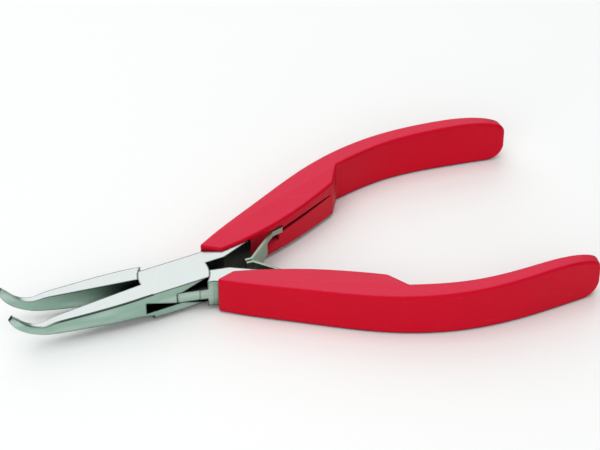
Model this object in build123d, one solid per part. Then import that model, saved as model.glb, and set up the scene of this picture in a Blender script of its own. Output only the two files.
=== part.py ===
from build123d import *
import os

# Bent needle nose pliers with a box joint, twin leaf springs and moulded grips.
#
# Row frame: origin on the pivot axis at the joint's flat underside, +X towards the
# handles, +Y towards the handle of the slotted half, +Z up. Units are millimetres.
# Each half is drawn closed, with its jaw face on the plane y = 0, and is then turned
# about the pivot by half of the opening that the springs hold it at.

# ---- driving dimensions --------------------------------------------------------------
half_opening = 6.6            # degrees that each half stands open at rest
metal = 6.9                   # thickness of the forged halves
mid = metal / 2               # height of the plane that both halves share

# box joint
joint_half_width = 4.3
joint_radius = 7.9            # rounded ends of the slotted half's two cheeks
shoulder_radius = 7.95        # hollow shoulders of the other half, round the same centre
tongue = 2.8                  # thickness of the tongue that passes through the slot
slot = 2.86                   # height of the slot
slot_half_length = 8.45
tongue_half_length = 7.65     # its corners meet the slot's ends when the jaws are open
tongue_half_width = 4.2
web_depth = 0.3               # skin that partly closes the slot beside the tongue
web_end = -1.15
rivet_radius = 2.0
rivet_head_radius = 2.6
rivet_head_depth = 0.6
running_clearance = 0.05

# jaws
jaw_face = 0.02               # each jaw face stops this far short of the shared plane
jaw_root = 8.5                # where the jaw begins to taper
jaw_round = 1.0               # rounding of the outer edge below
jaw_arris = 0.35              # rounding of the outer edge above

# grips
wall_round = 0.7              # rounding of the edges
front_x = 9
front_half_height = 4.7
grip_draft = 0.018            # gain in half height per mm towards the handle's end
grip_end = 93.1
end_round = 4.2               # rounding of the end's lower corner, seen from the side
block_end = (48.9, 16.9)      # where the broad front block meets the slim stem
hinge_front = (5, 4.5)        # the block's sloping faces begin on a line from here to block_end
block_fall = 0.15             # slope of the block's top and bottom towards its inner side

# pocket in the inner side of each grip, in which the leaf spring folds away
pocket_front = 20.3
pocket_waist = 25.3           # ahead of this it takes the leaf's blade, behind it the neck
pocket_rear = 28.3
blade_half_height = 2.8
neck_low = -1.6               # the neck's part of the pocket, measured from mid height
neck_high = 2.55

# leaf springs
leaf_thickness = 0.6
leaf_width = 4.9
leaf_neck = 1.3               # width of the neck behind the blade
leaf_hinge = (28.4, 5.2)      # where the leaf leaves its slot in the grip
leaf_bend = 0.8               # radius of the bends behind the blade and at its tip
leaf_slot = 1.3


def solid_prism(face, low, high):
    """Extrude a face in the XY plane from one height to another."""
    return extrude(Pos(0, 0, low) * face, high - low)


def side_prism(profile, y_low, y_high):
    """Extrude an outline given as (x, z) from y_low to y_high."""
    face = Plane.XZ * profile
    return extrude(Pos(0, y_high, 0) * face, y_high - y_low)


def jaw_plan():
    """Tapered outline of one jaw, seen from above."""
    outer = Spline(
        (-jaw_root, -joint_half_width), (-23, -2.95), (-32, -1.7), (-39, -0.85),
        tangents=((-1, 0.02), (-1, 0.1)),
    )
    edges = Polyline(
        (-39, -0.85), (-39, -jaw_face), (0, -jaw_face), (0, -joint_half_width),
        (-jaw_root, -joint_half_width),
    )
    return make_face(outer + edges)


def jaw_profile():
    """Side outline of one jaw: straight, then bent up at the tip."""
    top = metal
    upper = Spline(
        (-28, top - 1.15), (-31.2, top - 1.7), (-33.9, top - 0.85), (-37.7, top + 2.9),
        tangents=((-1, -0.08), (-0.7, 0.72)),
    )
    lower = Spline(
        (-38.5, top + 1.8), (-35.3, top - 2.6), (-31.5, top - 4.4), (-26, top - 5.15),
        tangents=((0.3, -0.95), (1, -0.1)),
    )
    heel = Spline((-10, top - 6.0), (-7.5, top - 6.6), (-5, 0), tangents=((1, -0.12), (1, 0)))
    rest = Line((-37.7, top + 2.9), (-38.5, top + 1.8))
    under = Line((-26, top - 5.15), (-10, top - 6.0))
    back = Polyline((-5, 0), (0, 0), (0, top), (-jaw_root, top), (-28, top - 1.15))
    return make_face(upper + rest + lower + under + heel + back)


def outer_edges(blank):
    """Long edges on the outer side of a jaw, ahead of the joint."""
    def wanted(edge):
        place = edge.center()
        return place.Y < -0.6 and -37 < place.X < -6 and edge.length > 1.4

    return [e for e in blank.edges() if wanted(e) and e.bounding_box().size.X > 1]


def jaw():
    """One jaw, with a flat gripping face and a rounded outer side."""
    blank = solid_prism(jaw_plan(), -1, metal + 4)
    blank &= side_prism(jaw_profile(), -6, 1)
    high = [e for e in outer_edges(blank) if e.center().Z > mid]
    blank = fillet(high, jaw_arris)
    low = [e for e in outer_edges(blank) if e.center().Z < mid]
    return fillet(low, jaw_round)


def tang_plan():
    """Outline of the steel handle, which runs on inside the grip."""
    outer = Spline(
        (9.6, 4.75), (26.4, 11.7), (44, 18.9), (61.5, 21.8), (75, 20.4),
        tangents=((1, 0.4), (1, -0.2)),
    )
    inner = Spline((75, 18.4), (61.5, 19.9), (44, 15.6), tangents=((-1, 0.2), (-1, -0.45)))
    back = Line((75, 20.4), (75, 18.4))
    neck = Polyline(
        (44, 15.6), (26, 8.0), (20.9, 5.8), (20.3, 3.4), (12.4, 0.45), (5, 0.45),
        (5, joint_half_width), (8.2, joint_half_width), (9.6, 4.75),
    )
    return make_face(outer + back + inner + neck)


def joint_plan(radius):
    """Straight-sided strip with round ends, centred on the pivot."""
    return Circle(radius) & Rectangle(4 * radius, 2 * joint_half_width)


def leaf_pocket():
    """Pocket in the inner side of a handle: full height for the blade, then a narrow part."""
    floor = Polyline(
        (pocket_front, -3), (pocket_front, 4.1), (22.6, 5.3), (pocket_waist, 6.2),
        (pocket_rear, 6.8), (pocket_rear, -3), (pocket_front, -3),
    )
    deep = solid_prism(make_face(floor), mid - blade_half_height, mid + blade_half_height)
    sides = Polyline(
        (pocket_front - 1, mid - blade_half_height), (pocket_waist - 0.9, mid - blade_half_height),
        (pocket_waist, mid + neck_low), (pocket_rear + 1, mid + neck_low + 0.8),
        (pocket_rear + 1, mid + neck_high), (pocket_front - 1, mid + blade_half_height),
        (pocket_front - 1, mid - blade_half_height),
    )
    return deep & side_prism(make_face(sides), -4, 10)


def rivet():
    """Joint rivet, with both heads ground flush with the cheeks."""
    body = Cylinder(rivet_radius, metal, align=(Align.CENTER, Align.CENTER, Align.MIN))
    head = Cone(rivet_head_radius, rivet_radius, rivet_head_depth,
                align=(Align.CENTER, Align.CENTER, Align.MIN))
    top_head = Pos(0, 0, metal) * Rot(180, 0, 0) * head
    return body + head + top_head


def slotted_half():
    """Half with the box: two cheeks with a slot between them."""
    blank = jaw() + solid_prism(tang_plan(), 0, metal) + solid_prism(joint_plan(joint_radius), 0, metal)
    gap = Pos(0, 0, mid) * Box(2 * slot_half_length, 20, slot)
    # a thin web closes most of the slot's front opening and leaves a three-cornered window
    web = Polyline(
        (-slot_half_length, slot / 2), (web_end, slot / 2), (web_end, 0.25 - slot / 2),
        (-slot_half_length, slot / 2),
    )
    gap -= Pos(0, 0, mid) * side_prism(make_face(web), -joint_half_width - 1, -joint_half_width + web_depth)
    # the cheeks thin out towards their free ends, on the side where the tongue leaves them
    notch = Polyline(
        (0.2, 0), (8.7, 0), (8.7, mid - 0.35), (5.0, mid - 0.35), (0.2, slot / 2), (0.2, 0),
    )
    notch_up = side_prism(make_face(notch), -joint_half_width - 1, -2.7)
    notch_up = Pos(0, 0, mid) * notch_up
    notch_down = Pos(0, 0, 2 * mid) * mirror(notch_up, about=Plane.XY)
    return blank - gap - notch_up - notch_down - rivet() - leaf_pocket()


def tongued_half():
    """Half with the tongue, drawn like the slotted half and then mirrored across y = 0."""
    blank = jaw() + solid_prism(tang_plan(), 0, metal)
    long, wide = tongue_half_length, tongue_half_width
    # one corner is cut back; the opposite one is the stop against the slot's end
    strip = make_face(Polyline(
        (long, -wide), (long, wide), (0.3, wide), (-long, 1.5), (-long, -wide), (long, -wide),
    ))
    cut = Cylinder(shoulder_radius, metal, align=(Align.CENTER, Align.CENTER, Align.MIN))
    core = solid_prism(strip, mid - tongue / 2, mid + tongue / 2)
    blank = blank - cut + core
    # the jaw and the handle keep their full height right up to the shoulders
    bridge = (jaw() + solid_prism(tang_plan(), 0, metal)) & Pos(0, 0, mid) * Box(20, 20, tongue)
    blank = blank + bridge
    bore = Cylinder(rivet_radius + running_clearance, 3 * metal)
    return mirror(blank - bore - leaf_pocket(), about=Plane.XZ)


def grip_plan():
    """Outline of a grip seen from above: a broad block in front, a slim stem behind."""
    outer = Spline(
        (8.2, 5.3), (17, 9.5), (26.4, 13.5), (44, 20.4), (61.5, 23.0), (79.1, 20.8), (grip_end, 17.5),
        tangents=((1, 0.5), (1, -0.22)),
    )
    stem = Spline(
        (grip_end, 14.3), (79.1, 17.1), (61.5, 18.8), block_end,
        tangents=((-1, 0.22), (-1, -0.22)),
    )
    block = Spline(
        (45.5, 12.0), (35.2, 7.6), (26.4, 4.8), (17.6, 3.0), (12.8, 2.4),
        tangents=((-1, -0.47), (-1, -0.1)),
    )
    end = Line((grip_end, 17.5), (grip_end, 14.3))
    step = Line(block_end, (45.5, 12.0))
    front = Line((12.8, 2.4), (8.2, 5.3))
    return make_face(outer + end + stem + step + block + front)


def grip_half_height(x):
    """Half height of a grip at a distance from the pivot."""
    return front_half_height + grip_draft * (x - front_x)


def grip_profile():
    """Side outline of a grip: slightly thicker towards the end, which turns down and is rounded."""
    low = 6
    shoulder = (76, mid + grip_half_height(76))
    top = Line((low, mid + grip_half_height(low)), shoulder)
    turn = Spline(
        shoulder, (86, mid + 5.5), (91, mid + 4.1), (grip_end, mid + 1.4),
        tangents=((1, grip_draft), (0, -1)),
    )
    bottom_corner = (grip_end, mid - grip_half_height(grip_end))
    rest = Polyline(
        (grip_end, mid + 1.4), bottom_corner, (low, mid - grip_half_height(low)),
        (low, mid + grip_half_height(low)),
    )
    face = make_face(top + turn + rest)
    corner = face.vertices().sort_by_distance((bottom_corner[0], bottom_corner[1], 0))[0]
    return fillet(corner, end_round)


def block_wedge():
    """Stock above the block's sloping top face, which hinges on a line along the block."""
    run_x = block_end[0] - hinge_front[0]
    run_y = block_end[1] - hinge_front[1]
    hinge = Plane(
        origin=(hinge_front[0], hinge_front[1], mid + grip_half_height(hinge_front[0])),
        x_dir=(run_y, -run_x, 0),
        z_dir=(run_x, run_y, grip_draft * run_x),
    )
    reach = 16
    section = Polyline((0, 0), (reach, block_fall * reach), (reach, -4), (0, -4), (0, 0))
    wedge = extrude(hinge * make_face(section), 60)
    return wedge & Pos(block_end[0] - 50, 0, 0) * Box(100, 100, 100)


def rounded_edges(shell):
    """Every edge of the shell except the ones that the block's sloping faces hinge on."""
    def on_hinge(point):
        across = (point.X - hinge_front[0]) * (block_end[1] - hinge_front[1])
        return abs(across - (point.Y - hinge_front[1]) * (block_end[0] - hinge_front[0])) < 0.5

    return [e for e in shell.edges() if not (e.length > 20 and on_hinge(e @ 0) and on_hinge(e @ 1))]


def groove():
    """Thin groove along the block's inner side, above mid height."""
    top = Spline((28.2, 1.6), (36, 2.1), (44.6, 1.75))
    bottom = Spline((44.6, 1.45), (36, 1.2), (28.2, 0.55))
    section = make_face(top + Line(top @ 1, bottom @ 0) + bottom + Line(bottom @ 1, top @ 0))
    reach = Polyline((28.2, 0), (28.2, 6.6), (35.2, 8.8), (40, 10.8), (44.6, 12.7), (44.6, 0), (28.2, 0))
    return Pos(0, 0, mid) * side_prism(section, -1, 14) & solid_prism(make_face(reach), 0, metal)


def leaf_root_slot():
    """Slot at the back of the pocket that holds the end of the leaf's neck."""
    height = mid + (leaf_width - leaf_neck) / 2
    place = Pos(leaf_hinge[0], leaf_hinge[1], height) * Rot(0, 0, 10)
    return place * Box(1.9, leaf_slot, leaf_neck + 0.3)


def grip(steel):
    """Moulded grip, hollow where the steel handle fills it."""
    shell = solid_prism(grip_plan(), -8, metal + 8)
    shell &= side_prism(grip_profile(), -1, 30)
    wedge = block_wedge()
    shell = shell - wedge - Pos(0, 0, 2 * mid) * mirror(wedge, about=Plane.XY)
    shell = fillet(rounded_edges(shell), wall_round)
    return shell - leaf_pocket() - groove() - leaf_root_slot() - steel


def leaf():
    """Leaf spring: a narrow neck, then a blade sprung away from the handle, flattened at its tip."""
    line = FilletPolyline((29.0, 5.3), (26.3, 4.8), (18.2, -1.6), (16.7, -1.4), radius=leaf_bend)
    strip = solid_prism(trace(line, leaf_thickness), mid - leaf_width / 2, mid + leaf_width / 2)
    blade = Pos(20.2, mid) * RectangleRounded(8, leaf_width, 0.8)
    neck = Pos(27, mid + (leaf_width - leaf_neck) / 2) * Rectangle(7.2, leaf_neck)
    return strip & side_prism(blade + neck, -6, 12)


def main():
    os.makedirs("parts", exist_ok=True)
    turn_open = Rot(0, 0, half_opening)
    turn_other = Rot(0, 0, -half_opening)

    box_steel = slotted_half()
    tongue_steel = tongued_half()
    box_grip = grip(box_steel)
    tongue_grip = mirror(grip(mirror(tongue_steel, about=Plane.XZ)), about=Plane.XZ)

    nodes = {
        "slotted_half": turn_open * box_steel,
        "tongued_half": turn_other * tongue_steel,
        "joint_rivet": turn_open * rivet(),
        "upper_grip": turn_open * box_grip,
        "lower_grip": turn_other * tongue_grip,
        "upper_leaf_spring": turn_open * leaf(),
        "lower_leaf_spring": turn_other * mirror(leaf(), about=Plane.XZ),
    }
    for name, shape in nodes.items():
        export_step(shape, f"parts/{name}.step")
        print(name, round(shape.volume, 2))


main()
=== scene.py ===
"""Camera, materials, light and floor for the bent needle nose pliers, round the CAD frame."""
import math

import bpy
from mathutils import Matrix, Vector


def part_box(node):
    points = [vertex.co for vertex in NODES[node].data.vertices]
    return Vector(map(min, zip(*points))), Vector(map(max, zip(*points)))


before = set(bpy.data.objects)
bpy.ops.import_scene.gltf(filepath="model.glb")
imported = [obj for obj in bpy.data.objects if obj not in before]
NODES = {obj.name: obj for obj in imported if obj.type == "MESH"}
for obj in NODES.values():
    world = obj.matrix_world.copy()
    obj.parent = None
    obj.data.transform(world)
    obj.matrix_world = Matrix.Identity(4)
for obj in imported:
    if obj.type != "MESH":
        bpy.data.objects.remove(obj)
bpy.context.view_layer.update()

# ---- sizes and places, in metres unless they say otherwise -------------------------------
MM = 0.001

# places on the pliers, from the frame
METAL_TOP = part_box("joint_rivet")[1].z        # the joint's upper face
RIVET_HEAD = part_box("joint_rivet")[1].x       # radius of the rivet's heads
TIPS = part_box("slotted_half")[0].x            # ends of the jaws
GRIP_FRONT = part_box("upper_grip")[0].x        # front ends of the grips
LEAF_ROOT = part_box("upper_leaf_spring")[1].x  # rear ends of the leaf springs

# stretch along which the jaws' painted dark edge reflections fade out towards the bent tips
TIP_FADE = (TIPS + 5.2 * MM, TIPS + 11.2 * MM)

# camera: its angles, and where the pivot lies in its view
ELEVATION = math.radians(39.35)
TURN = math.radians(19.78)      # from +Y towards +X
SENSOR = 36                     # in mm, as Blender takes it
LENS = 130.8                    # in mm too
DISTANCE = 479.12 * MM          # from the pivot, along the view's middle line
PIVOT_LEFT = 27.78 * MM         # how far left of that line the pivot lies
PIVOT_BELOW = 10.81 * MM        # and how far below it

# floor, which follows the grips' tapered undersides
GRIP_DRAFT = 0.018              # how much the undersides fall for each metre along the pliers
FLOOR_SLOPE = math.atan(GRIP_DRAFT)
FLOOR_HALF = 2                  # half the floor's width

# lights
LIT_POINT = Vector((30 * MM, 0, 0))   # what every panel faces
SURROUND = (0.9, 1, 0.95, 1)          # faint light from all round
SURROUND_STRENGTH = 0.2

# cosines between the true and the rounded normal where an edge begins and is fully there
EDGE_BEGINS = 0.997
EDGE_FULL = 0.94

# ---- colours, as linear red, green and blue. A pair is the range that clouding covers -----
# the next two are lit and shaded copies of one steel: painted highlight on the top faces, painted
# shade on the walls
STEEL_FACE_LIT = (0.52, 0.545, 0.545), (0.58, 0.61, 0.61)
STEEL_WALL_SHADED = (0.25, 0.42, 0.33), (0.37, 0.53, 0.44)
# painted shade on the shank walls behind the grips' front ends
STEEL_SHANK_SHADE = (0.17, 0.33, 0.22)
# painted sheen: light streaks along the walls
STEEL_SHEEN_STREAK = (0.58, 0.68, 0.64)
STEEL_LINE = (0.46, 0.54, 0.51)
STEEL_PIT = (0.16, 0.17, 0.16)
# painted dark reflection along the steel's sharp edges
STEEL_EDGE_DARK_REFLECTION = (0.022, 0.03, 0.028)
# painted shade for slots and seams
STEEL_HOLLOW_SHADE = (0.012, 0.016, 0.014)
# painted shade on the shanks' facing walls and painted dark reflection on the jaw ends
STEEL_SHADE_AND_DARK_REFLECTION = (0.035, 0.026, 0.022)
SPRING_STRIP = (0.2, 0.29, 0.21), (0.31, 0.4, 0.31)
SPRING_STRAW = (0.4, 0.3, 0.17)
# painted highlight on the spring strip's edges
SPRING_EDGE_HIGHLIGHT = (0.78, 0.83, 0.8)
# flat faces painted paler and pinker than the walls: a painted sheen
GRIP_FACE_SHEEN = (0.66, 0.026, 0.06), (0.73, 0.033, 0.074)
GRIP_WALL = (0.55, 0.001, 0.014), (0.62, 0.001, 0.0175)
GRIP_GRAIN = (0.42, 0.002, 0.012)
# painted highlight along the grips' edges
GRIP_EDGE_HIGHLIGHT = (0.75, 0.004, 0.025)
GRIP_SCUFF = (0.8, 0.2, 0.22)
# painted shade for the grips' hollows
GRIP_HOLLOW_SHADE = (0.1, 0.001, 0.012)
FLOOR_CARD = (0.94, 0.94, 0.94), (0.96, 0.96, 0.96)


# ---- camera ------------------------------------------------------------------------------
def make_camera():
    """Look down on the pliers from the lower grip's side, with the pivot left of the middle."""
    right = Vector((math.cos(TURN), -math.sin(TURN), 0))
    ahead = Vector((
        math.sin(TURN) * math.cos(ELEVATION),
        math.cos(TURN) * math.cos(ELEVATION),
        -math.sin(ELEVATION),
    ))
    up = right.cross(ahead)
    pivot = Vector((0, 0, METAL_TOP))
    place = pivot + PIVOT_LEFT * right + PIVOT_BELOW * up - DISTANCE * ahead
    data = bpy.data.cameras.new("camera")
    data.sensor_width = SENSOR
    data.lens = LENS
    data.clip_start = 10 * MM
    camera = bpy.data.objects.new("camera", data)
    bpy.context.scene.collection.objects.link(camera)
    turn = Matrix((right, up, -ahead)).transposed().to_4x4()
    camera.matrix_world = Matrix.Translation(place) @ turn
    bpy.context.scene.camera = camera


# ---- material nodes ----------------------------------------------------------------------
class MaterialNodes:
    """Short calls that add and join the nodes of one material."""

    def __init__(self, name, **values):
        self.material = bpy.data.materials.new(name)
        self.material.use_nodes = True
        self.tree = self.material.node_tree
        self.shader = self.tree.nodes["Principled BSDF"]
        for key, value in values.items():
            self.shader.inputs[key.replace("_", " ")].default_value = value
        self.place = self.add("TexCoord")

    def add(self, kind, **settings):
        node = self.tree.nodes.new("ShaderNode" + kind)
        for key, value in settings.items():
            setattr(node, key, value)
        return node

    def join(self, source, target):
        """Link an output to an input, or set the input to a plain value."""
        if isinstance(source, (int, float, tuple)):
            target.default_value = source
        else:
            self.tree.links.new(source, target)

    def math(self, operation, first, second=0.0):
        node = self.add("Math", operation=operation)
        self.join(first, node.inputs[0])
        self.join(second, node.inputs[1])
        return node.outputs[0]

    def ramp(self, value, low, high, start=0.0, end=1.0):
        """Map a value from low..high to start..end, clamped."""
        node = self.add("MapRange")
        for index, source in enumerate((value, low, high, start, end)):
            self.join(source, node.inputs[index])
        return node.outputs[0]

    def noise(self, scale=1, detail=2.0, stretch=(1, 1, 1), roughness=0.5):
        """Noise over the object's own coordinates, with scale times stretch cycles per metre."""
        spread = self.add("Mapping")
        spread.inputs["Scale"].default_value = stretch
        self.join(self.place.outputs["Object"], spread.inputs["Vector"])
        node = self.add("TexNoise")
        self.join(spread.outputs[0], node.inputs["Vector"])
        node.inputs["Scale"].default_value = scale
        node.inputs["Detail"].default_value = detail
        node.inputs["Roughness"].default_value = roughness
        return node.outputs["Fac"]

    def mix(self, amount, first, second):
        """Blend two colours, each one plain or the output of a node."""
        node = self.add("Mix", data_type="RGBA")
        self.join(amount, node.inputs["Factor"])
        sockets = [socket for socket in node.inputs if socket.type == "RGBA"]
        for colour, socket in zip((first, second), sockets):
            self.join((*colour, 1) if isinstance(colour, tuple) else colour, socket)
        return next(socket for socket in node.outputs if socket.type == "RGBA")

    def over(self, base, paint, mask, strength=1.0):
        """Lay one colour over another where the mask is 1."""
        return self.mix(self.math("MULTIPLY", mask, strength), base, paint)

    def axis(self, output, name):
        """One axis of the place or of the normal, in the row frame."""
        split = self.add("SeparateXYZ")
        self.join(self.place.outputs[output], split.inputs[0])
        return split.outputs[name]

    def along(self, low, high, start=0.0, end=1.0):
        """A ramp along the pliers' length."""
        return self.ramp(self.axis("Object", "X"), low, high, start, end)

    def upright(self, low, high):
        """0 on side walls and 1 on faces that look straight up or down."""
        return self.ramp(self.math("ABSOLUTE", self.axis("Normal", "Z")), low, high)

    def rounded(self, radius):
        """The normal as it would be with every sharp edge rounded."""
        node = self.add("Bevel", samples=6)
        node.inputs["Radius"].default_value = radius
        return node.outputs[0]

    def edge(self, rounded):
        """1 on sharp edges, fading to 0 where the rounded normal meets the true one."""
        dot = self.add("VectorMath", operation="DOT_PRODUCT")
        self.join(rounded, dot.inputs[0])
        self.join(self.add("NewGeometry").outputs["Normal"], dot.inputs[1])
        return self.ramp(dot.outputs["Value"], EDGE_BEGINS, EDGE_FULL)

    def hollow_shade(self, reach, clear, dark):
        """Mask for painted shade: 0 on open faces and 1 deep in slots and seams."""
        node = self.add("AmbientOcclusion", samples=8)
        node.inputs["Distance"].default_value = reach
        return self.ramp(node.outputs["AO"], clear, dark)

    def bump(self, height, distance, strength, normal=None):
        node = self.add("Bump")
        node.inputs["Distance"].default_value = distance
        node.inputs["Strength"].default_value = strength
        self.join(height, node.inputs["Height"])
        if normal is not None:
            self.join(normal, node.inputs["Normal"])
        return node.outputs[0]

    def finish(self, colour, rough, normal):
        self.join(colour, self.shader.inputs["Base Color"])
        self.join(rough, self.shader.inputs["Roughness"])
        self.join(normal, self.shader.inputs["Normal"])
        return self.material


# ---- masks for places on the steel -------------------------------------------------------
def inner_side(nodes):
    """1 on the shanks' walls that face each other behind the joint, where painted shade goes."""
    # negative where a wall faces the middle plane, and more so the further out it is
    facing = nodes.math("MULTIPLY", nodes.axis("Normal", "Y"), nodes.axis("Object", "Y"))
    facing = nodes.ramp(facing, -0.2 * MM, -0.8 * MM)
    return nodes.math("MULTIPLY", facing, nodes.along(GRIP_FRONT + 0.1 * MM, GRIP_FRONT + 1.7 * MM))


def tip_end(nodes):
    """1 on the small end faces of the jaws, where a painted dark reflection goes."""
    facing = nodes.ramp(nodes.axis("Normal", "X"), -0.6, -0.8)
    return nodes.math("MULTIPLY", facing, nodes.along(TIPS + 4.2 * MM, TIPS + 2.2 * MM))


def arris(nodes):
    """1 on the rounded outer edges along the top of the jaws, fading out at the bent tips."""
    high = nodes.ramp(nodes.axis("Normal", "Z"), 0.1, 0.2)
    sideways = nodes.math("ABSOLUTE", nodes.axis("Normal", "Y"))
    edge = nodes.math("MULTIPLY", high, nodes.ramp(sideways, 0.08, 0.18))
    return nodes.math("MULTIPLY", edge, nodes.along(*TIP_FADE))


def away_from_rivet(nodes):
    """0 on and round the rivet heads, which are too flush for a painted dark edge reflection, and 1
    beyond.
    """
    flat = nodes.add("VectorMath", operation="MULTIPLY")
    nodes.join(nodes.place.outputs["Object"], flat.inputs[0])
    flat.inputs[1].default_value = (1, 1, 0)
    size = nodes.add("VectorMath", operation="LENGTH")
    nodes.join(flat.outputs[0], size.inputs[0])
    return nodes.ramp(size.outputs["Value"], RIVET_HEAD + 0.4 * MM, RIVET_HEAD + 0.8 * MM)


def sharp_edges(nodes):
    """1 on the steel's sharp edges, less at the bent tips and 0 round the rivet."""
    edge = nodes.edge(nodes.rounded(0.5 * MM))
    edge = nodes.math("MULTIPLY", edge, away_from_rivet(nodes))
    return nodes.math("MULTIPLY", edge, nodes.along(*TIP_FADE, start=0.35))


# ---- materials ---------------------------------------------------------------------------
def steel_material():
    """Forged steel: ground faces painted bright, satin walls painted darker, painted sheen streaks,
    painted shade between the shanks and painted dark reflection on the edges and jaw ends.
    """
    nodes = MaterialNodes("polished_steel", Metallic=1.0)
    top = nodes.upright(0.75, 0.95)
    lines = nodes.noise(detail=3, stretch=(500, 9000, 9000), roughness=0.6)
    cloud = nodes.noise(scale=140, detail=3)
    pits = nodes.ramp(nodes.noise(scale=2600), 0.26, 0.2)
    sheen_streaks = nodes.ramp(nodes.noise(stretch=(70, 420, 420)), 0.45, 0.68)
    shank_shade = nodes.along(GRIP_FRONT - 1.3 * MM, GRIP_FRONT + 0.2 * MM)
    shade_and_dark_reflection = nodes.math("MAXIMUM", inner_side(nodes), tip_end(nodes))
    edge_dark_reflection = nodes.math("MAXIMUM", sharp_edges(nodes), arris(nodes))

    wall = nodes.mix(cloud, *STEEL_WALL_SHADED)
    # painted sheen streaks laid along the walls
    wall = nodes.over(wall, STEEL_SHEEN_STREAK, sheen_streaks, strength=0.6)
    # painted shade: the walls turn darker from the grips' front ends back
    wall = nodes.over(wall, STEEL_SHANK_SHADE, shank_shade, strength=0.8)
    # top faces get the painted highlight colour, walls the painted shade colour
    colour = nodes.mix(top, wall, nodes.mix(cloud, *STEEL_FACE_LIT))
    colour = nodes.over(colour, STEEL_LINE, nodes.ramp(lines, 0.35, 0.7), strength=0.25)
    colour = nodes.over(colour, STEEL_PIT, pits, strength=0.4)
    # painted shade on the shanks' facing walls and painted dark reflection on the jaw end faces
    colour = nodes.over(colour, STEEL_SHADE_AND_DARK_REFLECTION, shade_and_dark_reflection, strength=0.93)
    # painted dark reflection on the sharp edges and the jaws' rounded top edges
    colour = nodes.over(colour, STEEL_EDGE_DARK_REFLECTION, edge_dark_reflection, strength=0.92)
    # painted shade deep in slots and seams, from an occlusion mask
    colour = nodes.over(colour, STEEL_HOLLOW_SHADE, nodes.hollow_shade(5 * MM, clear=0.75, dark=0.3))

    rough = nodes.ramp(top, 0, 1, start=0.34, end=0.24)
    rough = nodes.math("ADD", rough, nodes.ramp(lines, 0.3, 0.7, start=-0.05, end=0.06))
    rough = nodes.math("ADD", rough, nodes.ramp(cloud, 0.35, 0.65, start=-0.03, end=0.03))
    return nodes.finish(colour, rough, nodes.bump(lines, distance=0.01 * MM, strength=0.22))


def spring_material():
    """Rolled spring strip, with a faint straw tint from tempering near its neck."""
    nodes = MaterialNodes("spring_steel", Metallic=1.0)
    grain = nodes.noise(detail=3, stretch=(700, 700, 11000), roughness=0.6)
    cloud = nodes.noise(scale=320)
    rounded = nodes.rounded(0.1 * MM)
    tempered = nodes.along(LEAF_ROOT - 6.3 * MM, LEAF_ROOT + 0.7 * MM)

    colour = nodes.mix(cloud, *SPRING_STRIP)
    colour = nodes.over(colour, SPRING_STRAW, tempered, strength=0.15)
    # painted highlight along the strip's sharp edges
    colour = nodes.over(colour, SPRING_EDGE_HIGHLIGHT, nodes.edge(rounded), strength=0.8)
    rough = nodes.ramp(grain, 0.3, 0.7, start=0.28, end=0.42)
    bump = nodes.bump(grain, distance=0.008 * MM, strength=0.2, normal=rounded)
    return nodes.finish(colour, rough, bump)


def grip_material():
    """Moulded grip plastic: fine grain, flat faces painted paler as a painted sheen, a few scuffs,
    glossier edges painted brighter as a painted highlight, painted shade in hollows.
    """
    nodes = MaterialNodes("red_grip", Specular_IOR_Level=0.12, Specular_Tint=(1, 0.6, 0.9, 1))
    top = nodes.upright(0.8, 0.97)
    grain = nodes.noise(scale=5200, detail=3, roughness=0.6)
    cloud = nodes.noise(scale=55, detail=3)
    scuffs = nodes.ramp(nodes.noise(stretch=(260, 2600, 2600)), 0.62, 0.72)
    rounded = nodes.rounded(0.3 * MM)
    wear_and_highlight_edge = nodes.edge(rounded)

    # painted sheen: flat faces get the paler colour, walls the deeper red
    colour = nodes.mix(top, nodes.mix(cloud, *GRIP_WALL), nodes.mix(cloud, *GRIP_FACE_SHEEN))
    colour = nodes.over(colour, GRIP_GRAIN, nodes.ramp(grain, 0.35, 0.7), strength=0.2)
    # painted highlight: edges painted brighter red; the same mask makes them glossier below
    colour = nodes.over(colour, GRIP_EDGE_HIGHLIGHT, wear_and_highlight_edge, strength=0.5)
    colour = nodes.over(colour, GRIP_SCUFF, scuffs, strength=0.05)
    # painted shade deep in the grips' hollows and seams, from an occlusion mask
    colour = nodes.over(colour, GRIP_HOLLOW_SHADE, nodes.hollow_shade(1.5 * MM, clear=0.8, dark=0.35))

    rough = nodes.ramp(cloud, 0.35, 0.65, start=0.38, end=0.45)
    rough = nodes.math("ADD", rough, nodes.ramp(grain, 0.3, 0.7, start=-0.04, end=0.05))
    rough = nodes.math("SUBTRACT", rough, nodes.math("MULTIPLY", wear_and_highlight_edge, 0.08))
    bump = nodes.bump(grain, distance=0.02 * MM, strength=0.14, normal=rounded)
    return nodes.finish(colour, rough, bump)


def floor_material():
    """Plain pale studio card."""
    nodes = MaterialNodes("floor")
    fleck = nodes.noise(scale=900)
    rough = nodes.ramp(fleck, 0.3, 0.7, start=0.8, end=0.9)
    bump = nodes.bump(fleck, distance=0.05 * MM, strength=0.05)
    return nodes.finish(nodes.mix(fleck, *FLOOR_CARD), rough, bump)


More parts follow.
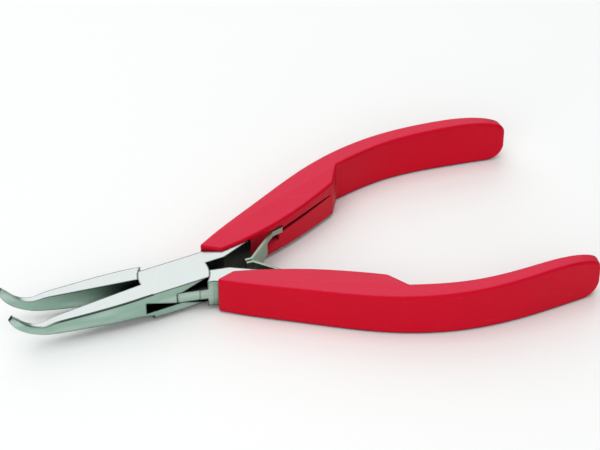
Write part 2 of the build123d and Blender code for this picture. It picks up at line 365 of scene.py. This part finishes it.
def dress_nodes():
    """Give each CAD piece its material."""
    grip = grip_material()
    spring = spring_material()
    steel = steel_material()
    for name, node in NODES.items():
        node.data.materials.clear()
        if name.endswith("grip"):
            node.data.materials.append(grip)
        elif name.endswith("spring"):
            node.data.materials.append(spring)
        else:
            node.data.materials.append(steel)


# ---- light and floor ---------------------------------------------------------------------
def add_panel(name, place, size, power):
    """Rectangular soft light that faces the pliers, with its power in watts."""
    data = bpy.data.lights.new(name, "AREA")
    data.shape = "RECTANGLE"
    data.size, data.size_y = size
    data.energy = power
    lamp = bpy.data.objects.new(name, data)
    lamp.location = place
    lamp.rotation_mode = "QUATERNION"
    lamp.rotation_quaternion = (LIT_POINT - Vector(place)).to_track_quat("-Z", "Y")
    bpy.context.scene.collection.objects.link(lamp)


def light_scene():
    add_panel("back_panel", place=(0.1, 0.75, 0.55), size=(1.2, 0.8), power=3.8)
    add_panel("overhead", place=(-0.1, 0, 0.9), size=(0.9, 0.9), power=5.2)
    add_panel("front_left", place=(-0.55, -0.55, 0.35), size=(0.6, 0.5), power=1.9)
    add_panel("front_panel", place=(0.1, -0.8, 0.42), size=(1.1, 0.6), power=2.2)
    world = bpy.data.worlds.new("world")
    world.use_nodes = True
    background = world.node_tree.nodes["Background"]
    background.inputs["Color"].default_value = SURROUND
    background.inputs["Strength"].default_value = SURROUND_STRENGTH
    bpy.context.scene.world = world
    bpy.context.scene.view_settings.view_transform = "Standard"


def floor_height():
    """Where the tilted floor crosses the pivot's axis, with the grips resting on it."""
    grips = [node for name, node in NODES.items() if name.endswith("grip")]
    points = [vertex.co for grip in grips for vertex in grip.data.vertices]
    return min(point.z + point.x * GRIP_DRAFT for point in points)


def make_floor():
    mesh = bpy.data.meshes.new("floor")
    half = FLOOR_HALF
    corners = [(-half, -half, 0), (half, -half, 0), (half, half, 0), (-half, half, 0)]
    mesh.from_pydata(corners, [], [(0, 1, 2, 3)])
    mesh.materials.append(floor_material())
    floor = bpy.data.objects.new("floor", mesh)
    floor.location = (0, 0, floor_height())
    floor.rotation_euler = (0, FLOOR_SLOPE, 0)
    bpy.context.scene.collection.objects.link(floor)


make_camera()
dress_nodes()
light_scene()
make_floor()
